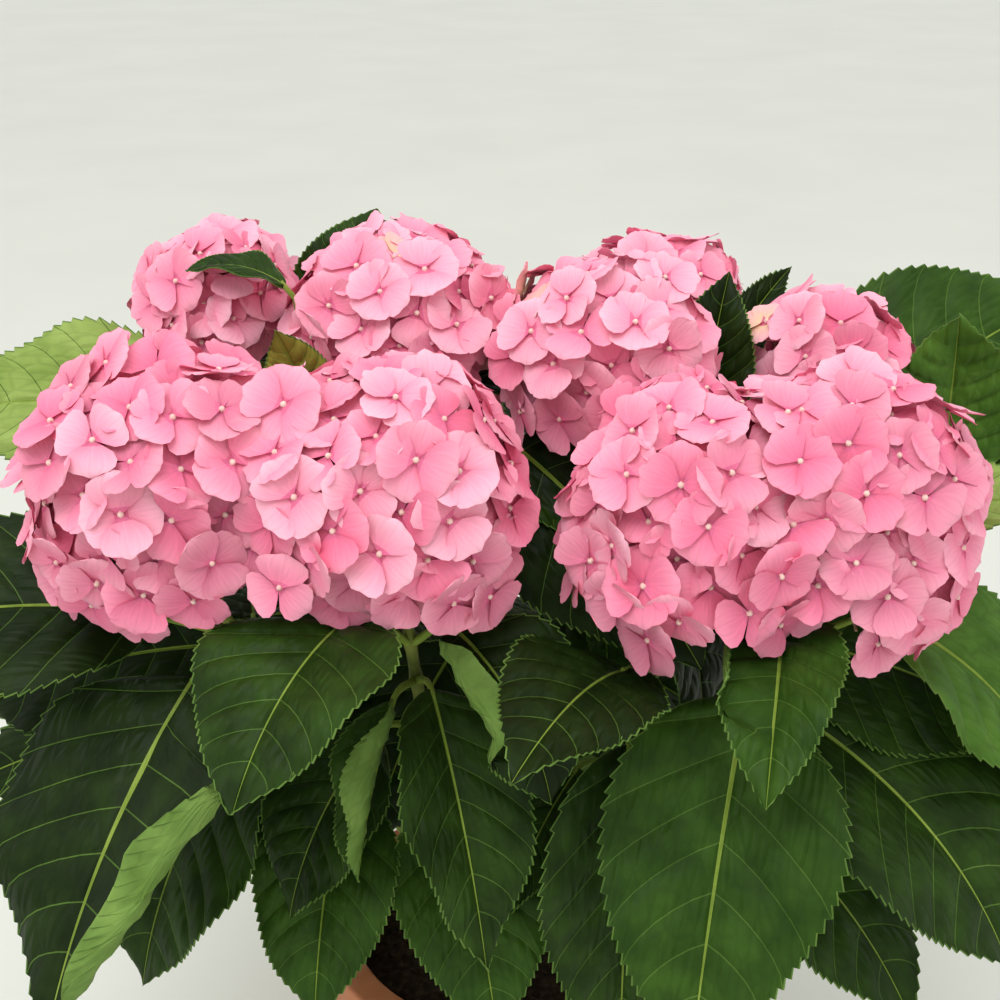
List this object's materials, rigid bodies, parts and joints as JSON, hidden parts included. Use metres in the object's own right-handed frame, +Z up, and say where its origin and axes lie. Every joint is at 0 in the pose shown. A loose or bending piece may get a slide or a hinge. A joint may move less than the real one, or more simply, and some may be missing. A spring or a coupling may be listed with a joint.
{
  "type": "hydrangea shrub",
  "caption": "Pot-grown mophead hydrangea: round pink blooms over large toothed leaves on short woody canes, in a plain clay pot.",
  "frame": {"origin": "middle of the pot's flat underside", "axes": "+Z up, -Y towards the side that the picture shows, +X to the right in the picture"},
  "size_m": [0.6852, 0.5545, 0.6151],
  "materials": {
    "clay": "matt unglazed clay",
    "compost": "dark crumbly potting compost",
    "bark": "flaking brown bark",
    "stem": "green new wood",
    "leaves": "satin leaf",
    "blooms": "soft matt petals"
  },
  "bodies": {
    "root": {"pot": "clay", "compost": "compost", "woody_base": "bark", "cane_left_back": "bark", "cane_left_front": "bark", "cane_middle": "bark", "cane_right_back": "bark", "cane_right_front": "bark", "bough_left_back_outer": "stem", "bough_left_front_inner": "stem", "bough_left_front_outer": "stem", "bough_left_middle_inner": "stem", "bough_left_middle_outer": "stem", "bough_rear_left": "stem", "bough_rear_middle": "stem", "bough_rear_right": "stem", "bough_right_back_inner": "stem", "bough_right_front_inner": "stem", "bough_right_front_outer": "stem", "bough_right_middle_inner": "stem", "bough_right_middle_outer": "stem", "leaves_left_back_outer": "leaves", "leaves_left_front_inner": "leaves", "leaves_left_front_outer": "leaves", "leaves_left_middle_inner": "leaves", "leaves_left_middle_outer": "leaves", "leaves_rear_left": "leaves", "leaves_rear_middle": "leaves", "leaves_rear_right": "leaves", "leaves_right_back_inner": "leaves", "leaves_right_front_inner": "leaves", "leaves_right_front_outer": "leaves", "leaves_right_middle_inner": "leaves", "leaves_right_middle_outer": "leaves", "bloom_left_back_outer": "blooms", "bloom_left_front_inner": "blooms", "bloom_left_front_outer": "blooms", "bloom_left_middle_inner": "blooms", "bloom_left_middle_outer": "blooms", "bloom_rear_left": "blooms", "bloom_rear_middle": "blooms", "bloom_rear_right": "blooms", "bloom_right_back_inner": "blooms", "bloom_right_front_inner": "blooms", "bloom_right_front_outer": "blooms", "bloom_right_middle_inner": "blooms", "bloom_right_middle_outer": "blooms"}
  },
  "joints": []
}
